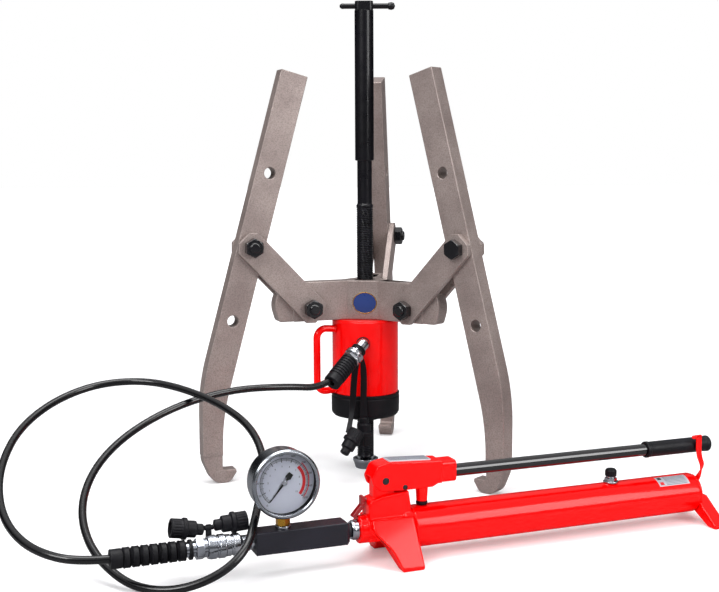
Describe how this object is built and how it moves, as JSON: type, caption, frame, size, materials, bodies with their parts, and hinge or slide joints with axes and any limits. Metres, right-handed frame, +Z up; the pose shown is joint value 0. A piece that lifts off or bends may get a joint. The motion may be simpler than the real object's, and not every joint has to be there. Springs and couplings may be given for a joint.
{
  "type": "hydraulic gear puller",
  "caption": "Hydraulic gear puller with hinged hook jaws on a crosshead, a hollow ram and spindle, and a hose to a hand pump with a pressure gauge.",
  "frame": {"origin": "centre of the spindle tip's bottom face, on the puller axis and in the plane that the hooks and pump feet stand on", "axes": "+Z up along the spindle; the pump lies on the -Y side, +X to the right seen from the pump"},
  "size_m": [1.0411, 0.9256, 0.8009],
  "materials": {
    "satin_steel": "satin nickel-grey forging",
    "black_steel": "blackened",
    "red_paint": "gloss enamel",
    "black_rubber": "matt",
    "bright_steel": "machined",
    "dark_steel": "phosphated",
    "spring_steel": "oiled",
    "chrome": "polished",
    "dark_red_paint": "gloss enamel",
    "black_enamel": "gloss",
    "grip_rubber": "fine pebbled",
    "black_anodised": "black anodised satin",
    "brass": "machined",
    "stainless": "polished stainless",
    "dial_white": "matt printed",
    "clear_glass": "clear",
    "pointer_black": "matt",
    "hose_black": "smooth glossy cover"
  },
  "bodies": {
    "base": {"crosshead": "satin_steel", "lug_bolts": "black_steel", "lug_nuts": "black_steel", "ram_body": "red_paint", "ram_protector": "black_rubber", "ram_gland": "bright_steel", "ram_handle": "red_paint", "ram_spring": "spring_steel", "ram_elbow": "chrome", "ram_hose_nut": "chrome", "ram_restrictor": "black_rubber", "ram_cap_straps": "black_rubber", "ram_caps": "black_rubber", "pump_head": "red_paint", "pump_tank": "red_paint", "rear_foot": "red_paint", "hook_bolt": "black_steel", "lever_pin": "black_steel", "outlet_fitting": "bright_steel", "gauge_block": "black_anodised", "gauge_nut": "bright_steel", "gauge_adaptor": "brass", "gauge_case": "stainless", "gauge_bezel": "stainless", "gauge_dial": "dial_white", "gauge_lens": "clear_glass", "line_coupler_body": "bright_steel", "hose_end_fitting": "bright_steel", "hose_grip": "black_rubber", "line_cap_strap": "black_rubber", "line_caps": "black_rubber", "hose": "hose_black"},
    "plunger": {"ram_plunger": "bright_steel", "spindle_nut": "dark_steel"},
    "tip": {"spindle_tip": "bright_steel"},
    "spindle": {"spindle_screw": "dark_steel", "spindle_sleeve": "dark_steel"},
    "tommy_bar": {"tommy_bar": "dark_steel"},
    "pump_lever": {"pump_lever": "red_paint", "lever_bumper": "black_rubber", "handle_tube": "black_enamel", "handle_grip": "grip_rubber"},
    "pump_piston": {"pump_piston": "bright_steel", "piston_pin": "black_steel"},
    "release_valve": {"release_valve": "dark_red_paint"},
    "filler_cap": {"filler_cap": "bright_steel"},
    "handle_hook": {"handle_hook": "red_paint"},
    "gauge_pointer": {"gauge_pointer": "pointer_black"},
    "ram_coupler_collar": {"ram_coupler_collar": "chrome"},
    "line_coupler_collar": {"line_coupler_collar": "bright_steel"},
    "left_links": {"left_links": "satin_steel", "left_arm_bolt": "black_steel"},
    "left_jaw": {"left_jaw": "satin_steel"},
    "right_links": {"right_links": "satin_steel", "right_arm_bolt": "black_steel"},
    "right_jaw": {"right_jaw": "satin_steel"},
    "rear_links": {"rear_links": "satin_steel", "rear_arm_bolt": "black_steel"},
    "rear_jaw": {"rear_jaw": "satin_steel"}
  },
  "joints": [
    {"name": "plunger_slide", "type": "slide", "parent": "base", "child": "plunger", "axis": [0, 0, -1], "range_m": [0, 0.064], "deforming": ["ram_spring"]},
    {"name": "spindle_feed", "type": "slide", "parent": "plunger", "child": "tip", "axis": [0, 0, -1], "range_m": [-0.0601, 0.1501]},
    {"name": "spindle_turn", "type": "hinge", "parent": "tip", "child": "spindle", "pos_m": [0, 0, 0], "axis": [0, 0, -1], "range_deg": [-3600, 9000]},
    {"name": "tommy_bar_slide", "type": "slide", "parent": "spindle", "child": "tommy_bar", "axis": [1, 0, 0], "range_m": [-0.022, 0.014]},
    {"name": "pump_lever_pivot", "type": "hinge", "parent": "base", "child": "pump_lever", "pos_m": [0.01889, -0.49003, 0.112], "axis": [0.3584, -0.9336, 0], "range_deg": [0, 40]},
    {"name": "pump_piston_slide", "type": "slide", "parent": "base", "child": "pump_piston", "axis": [0, 0, 1], "range_m": [0, 0.0201]},
    {"name": "release_valve_turn", "type": "hinge", "parent": "base", "child": "release_valve", "pos_m": [-0.00631, -0.4997, 0.086], "axis": [-0.9336, -0.3584, 0], "range_deg": [0, 90]},
    {"name": "filler_cap_turn", "type": "hinge", "parent": "base", "child": "filler_cap", "pos_m": [0.35405, -0.36137, 0.075], "axis": [0, 0, 1], "range_deg": [0, 180]},
    {"name": "handle_hook_pivot", "type": "hinge", "parent": "base", "child": "handle_hook", "pos_m": [0.48662, -0.31048, 0.05], "axis": [0.9336, 0.3584, 0], "range_deg": [0, 60]},
    {"name": "gauge_pointer_turn", "type": "hinge", "parent": "base", "child": "gauge_pointer", "pos_m": [-0.11087, -0.53984, 0.1225], "axis": [-0.3584, 0.9336, 0], "range_deg": [0, 270]},
    {"name": "ram_collar_turn", "type": "hinge", "parent": "base", "child": "ram_coupler_collar", "pos_m": [-0.004, -0.068, 0.228], "axis": [-0.5284, -0.6481, -0.5484], "continuous": true},
    {"name": "line_collar_turn", "type": "hinge", "parent": "base", "child": "line_coupler_collar", "pos_m": [-0.1949, -0.57209, 0.046], "axis": [0.9336, 0.3584, 0], "continuous": true},
    {"name": "left_link_pivot", "type": "hinge", "parent": "base", "child": "left_links", "pos_m": [-0.09726, -0.03656, 0.2877], "axis": [0.3518, -0.9361, 0], "range_deg": [-10, 30]},
    {"name": "left_jaw_pivot", "type": "hinge", "parent": "left_links", "child": "left_jaw", "pos_m": [-0.19237, -0.07231, 0.39365], "axis": [-0.3518, 0.9361, 0], "range_deg": [-18, 16]},
    {"name": "right_link_pivot", "type": "hinge", "parent": "base", "child": "right_links", "pos_m": [0.08029, -0.06595, 0.2877], "axis": [0.6347, 0.7727, 0], "range_deg": [-10, 30]},
    {"name": "right_jaw_pivot", "type": "hinge", "parent": "right_links", "child": "right_jaw", "pos_m": [0.1588, -0.13044, 0.39365], "axis": [-0.6347, -0.7727, 0], "range_deg": [-18, 16]},
    {"name": "rear_link_pivot", "type": "hinge", "parent": "base", "child": "rear_links", "pos_m": [0.01697, 0.1025, 0.2877], "axis": [-0.9866, 0.1633, 0], "range_deg": [-10, 30]},
    {"name": "rear_jaw_pivot", "type": "hinge", "parent": "rear_links", "child": "rear_jaw", "pos_m": [0.03356, 0.20275, 0.39365], "axis": [0.9866, -0.1633, 0], "range_deg": [-18, 16]}
  ],
  "couplings": [
    {"joint": "spindle_feed", "follows": "spindle_turn", "m_per_rad": 0.00095493},
    {"joint": "pump_piston_slide", "follows": "pump_lever_pivot", "m_per_rad": 0.0286}
  ]
}
